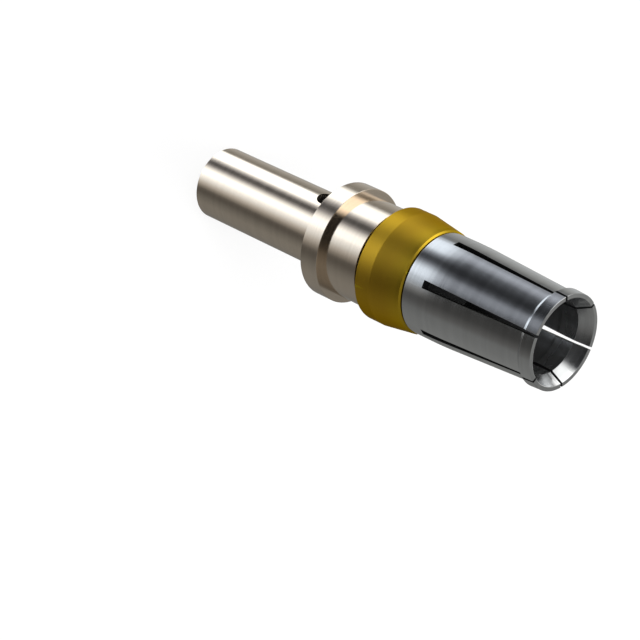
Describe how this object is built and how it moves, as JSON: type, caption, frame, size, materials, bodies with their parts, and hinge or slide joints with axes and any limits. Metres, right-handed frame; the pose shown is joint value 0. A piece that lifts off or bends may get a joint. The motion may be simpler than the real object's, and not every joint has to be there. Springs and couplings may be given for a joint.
{
  "type": "socket contact",
  "caption": "Crimped power socket contact: slotted spring sleeve with a flared mouth, split conical retention ring, shouldered neck, and crimp barrel with wire well and inspection hole.",
  "frame": {"origin": "centre of the crimp end's face, which the contact stands on", "axes": "+Z along the contact from the crimp end to the mouth, +Y towards the inspection hole"},
  "size_m": [0.0096, 0.0096, 0.0371],
  "materials": {
    "nickel_plate": "warm nickel plate over a turned copper alloy, smooth",
    "silver_plate": "cool silver plate over a turned spring alloy, smooth",
    "gold_plate": "satin gold plate over a spring alloy strip"
  },
  "bodies": {
    "root": {"crimp_body": "nickel_plate", "socket_sleeve": "silver_plate", "retention_ring": "gold_plate"}
  },
  "joints": []
}
